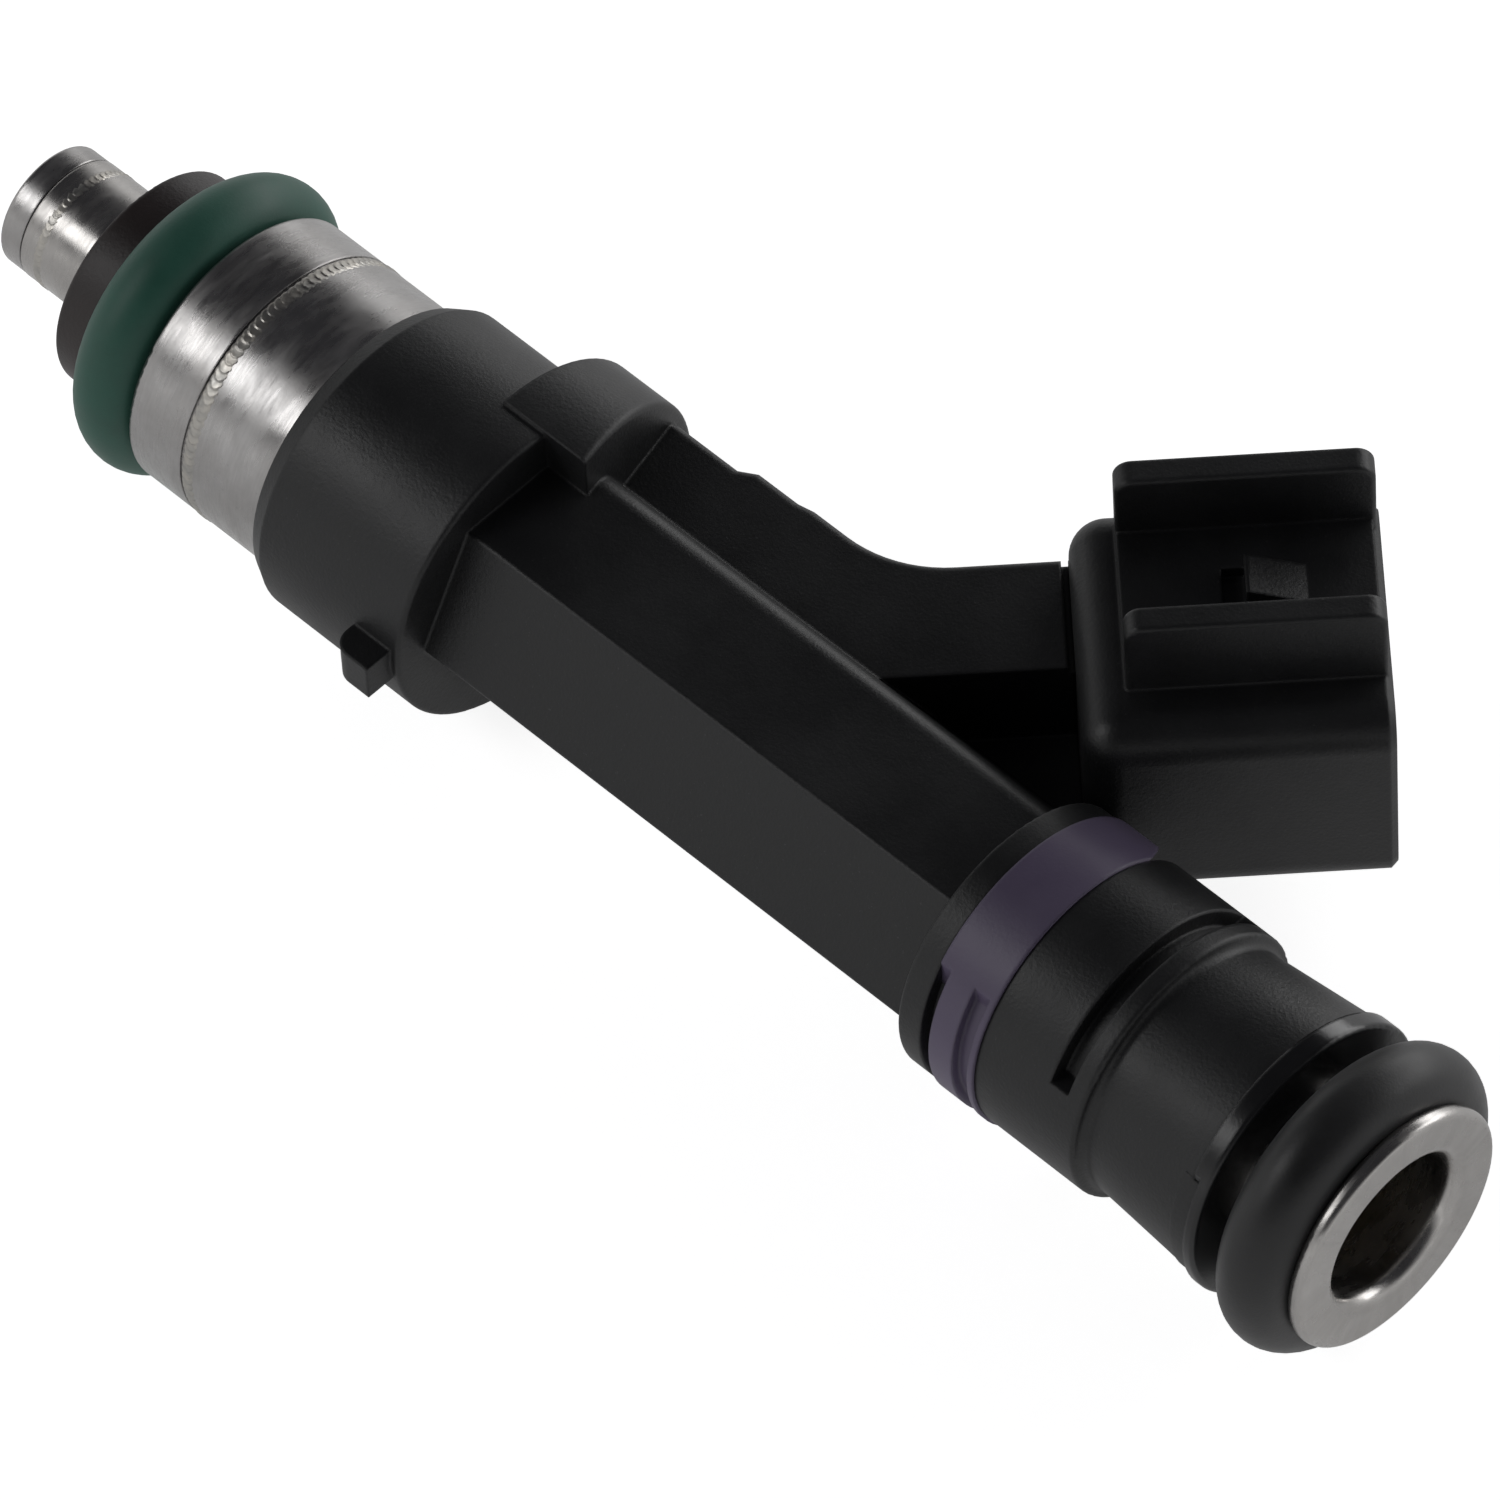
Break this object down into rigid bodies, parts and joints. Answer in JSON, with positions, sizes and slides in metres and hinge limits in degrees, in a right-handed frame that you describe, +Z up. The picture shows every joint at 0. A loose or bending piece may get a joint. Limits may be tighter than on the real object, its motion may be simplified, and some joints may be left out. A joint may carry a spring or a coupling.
{
  "type": "fuel injector",
  "caption": "Long-body port fuel injector: steel nozzle end and magnet housing, black moulded hexagonal body, angled two-blade connector, colour ring and two O-ring seals.",
  "frame": {"origin": "centre of the spray tip's end face", "axes": "+X from the spray tip to the fuel inlet along the body; +Y from the body's axis towards the side of the electrical connector; +Z up, square to the plane in which the connector leans"},
  "size_m": [0.0789, 0.0326, 0.0174],
  "materials": {
    "nylon_black": "satin glass-filled nylon, fine grain",
    "nylon_brown": "satin dark brown nylon",
    "nylon_gloss": "glossy black plastic",
    "nylon_lilac": "satin lilac nylon",
    "nylon_bobbin": "dark moulded nylon",
    "nylon_natural": "natural nylon",
    "rubber_green": "soft teal-green rubber",
    "rubber_black": "soft black rubber",
    "steel_turned": "turned stainless steel, fine lathe marks",
    "steel_tube": "drawn stainless steel",
    "steel_polished": "ground and polished steel",
    "steel_magnetic": "dull chromium-plated steel",
    "steel_spring": "spring steel",
    "terminal_tin": "tinned brass strip",
    "copper_wire": "enamelled copper wire",
    "brass_ring": "satin brass",
    "filter_gauze": "fine woven gauze"
  },
  "bodies": {
    "injector": {"nozzle_cap": "steel_turned", "valve_tube": "steel_tube", "orifice_plate": "steel_polished", "valve_seat": "steel_polished", "closing_spring": "steel_spring", "pole_core": "steel_magnetic", "adjusting_sleeve": "steel_spring", "valve_body": "steel_turned", "magnet_housing": "steel_turned", "yoke_washer": "steel_magnetic", "coil_bobbin": "nylon_bobbin", "coil_winding": "copper_wire", "terminal_a": "terminal_tin", "terminal_b": "terminal_tin", "overmold_body": "nylon_black", "connector_shell": "nylon_black", "lower_support_ring": "nylon_brown", "lower_o_ring": "rubber_green", "upper_support_ring": "nylon_gloss", "upper_o_ring": "rubber_black", "colour_code_ring": "nylon_lilac", "inlet_tube": "steel_tube", "filter_ring": "brass_ring", "filter_frame": "nylon_natural", "filter_mesh": "filter_gauze"},
    "needle": {"armature": "steel_magnetic", "needle_tube": "steel_tube", "valve_ball": "steel_polished"}
  },
  "joints": [
    {"name": "needle_lift", "type": "slide", "parent": "injector", "child": "needle", "axis": [1, 0, 0], "range_m": [0, 0.00008], "stiffness_N_per_m": 3000, "springref_m": -0.001, "deforming": ["closing_spring"]}
  ]
}
